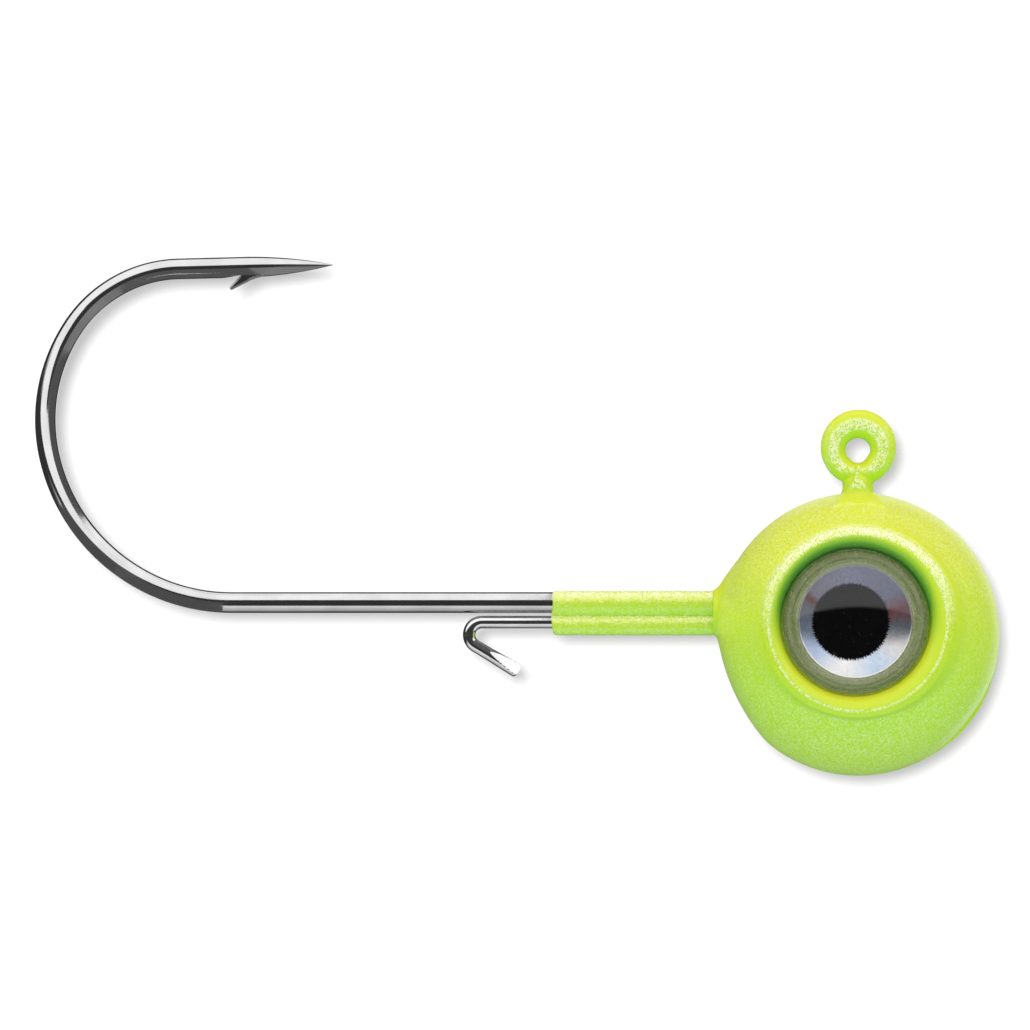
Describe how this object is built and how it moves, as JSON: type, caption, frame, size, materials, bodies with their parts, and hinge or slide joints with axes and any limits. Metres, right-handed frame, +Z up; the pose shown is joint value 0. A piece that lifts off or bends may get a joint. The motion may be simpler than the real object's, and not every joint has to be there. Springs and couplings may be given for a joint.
{
  "type": "jig head",
  "caption": "Round painted lead jig head on a bent jig hook, with a line-tie loop on top, moulded eyes and a wire bait keeper.",
  "frame": {"origin": "centre of the line-tie loop's hole", "axes": "+X from the hook's bend along the shank to the nose of the ball; +Z up, from the ball through the line-tie loop; +Y to the jig's left side, along the loop's hole"},
  "size_m": [0.0375, 0.0098, 0.0201],
  "materials": {
    "black_nickel": "polished",
    "bright_wire": "polished",
    "lead": "satin",
    "pearl_paint": "gloss",
    "clear_lens": "gloss",
    "holographic_foil": "polished",
    "pupil_ink": "satin",
    "clear_adhesive": "gloss"
  },
  "bodies": {
    "root": {"hook": "black_nickel", "keeper_wire": "bright_wire", "lead_ball": "lead", "head_coat": "pearl_paint", "collar_coat": "pearl_paint", "line_tie_coat": "pearl_paint", "eye_lens_left": "clear_lens", "eye_foil_left": "holographic_foil", "eye_pupil_left": "pupil_ink", "eye_adhesive_left": "clear_adhesive", "eye_lens_right": "clear_lens", "eye_foil_right": "holographic_foil", "eye_pupil_right": "pupil_ink", "eye_adhesive_right": "clear_adhesive"}
  },
  "joints": []
}
